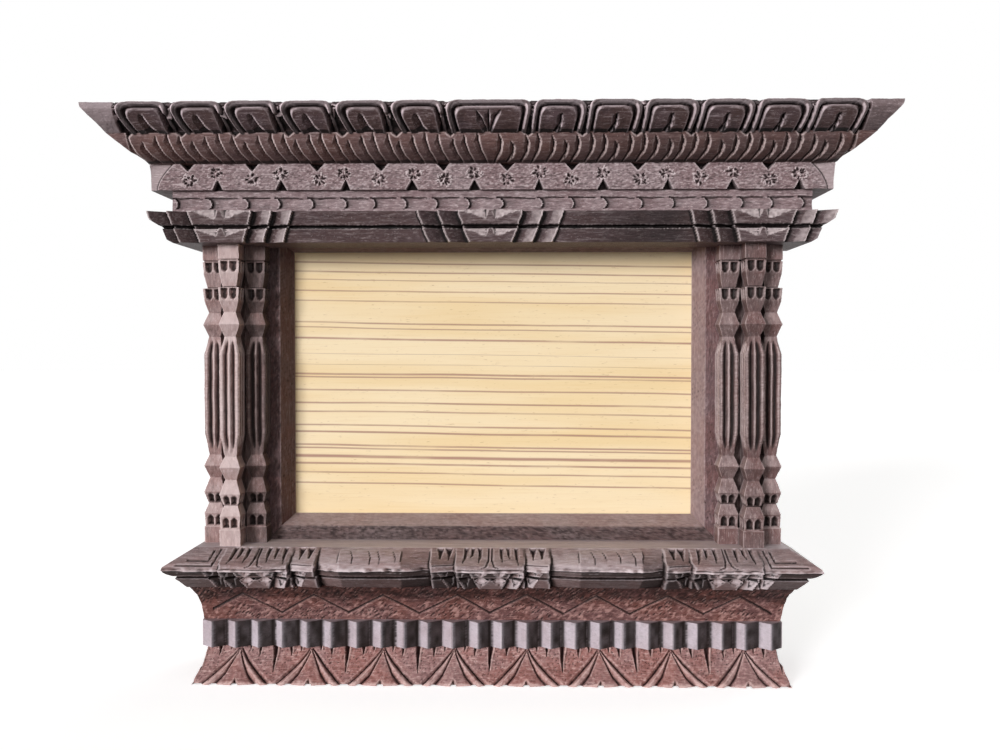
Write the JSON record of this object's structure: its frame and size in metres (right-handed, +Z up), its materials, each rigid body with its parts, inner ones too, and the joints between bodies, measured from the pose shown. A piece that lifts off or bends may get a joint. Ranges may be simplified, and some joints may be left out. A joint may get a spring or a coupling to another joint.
{
  "type": "carved wooden window",
  "caption": "Small carved wooden blind window with a stepped lotus crown, clustered posts, a splayed frame round a pale striped panel, a carved sill and a flaring petal plinth.",
  "frame": {"origin": "centre of the object's footprint on the surface it stands on", "axes": "+X along the mouldings to the viewer's right, +Y towards the flat back, +Z up; the front faces -Y"},
  "size_m": [0.308, 0.061, 0.2261],
  "materials": {
    "dark_wood": "dark stained carved hardwood, worn pale on the edges",
    "brown_wood": "brown stained carved hardwood, dry and matt",
    "pale_board": "pale yellow softwood board with purple-brown grain lines"
  },
  "bodies": {
    "root": {"crown_lotus": "dark_wood", "crown_leaf": "dark_wood", "notched_band": "brown_wood", "scroll_band": "brown_wood", "lintel": "dark_wood", "left_post": "dark_wood", "right_post": "dark_wood", "frame_head": "dark_wood", "frame_bottom_rail": "dark_wood", "frame_left_stile": "dark_wood", "frame_right_stile": "dark_wood", "back_panel": "pale_board", "sill": "brown_wood", "frieze": "brown_wood", "dentil_band": "brown_wood", "lotus_plinth": "brown_wood"}
  },
  "joints": []
}
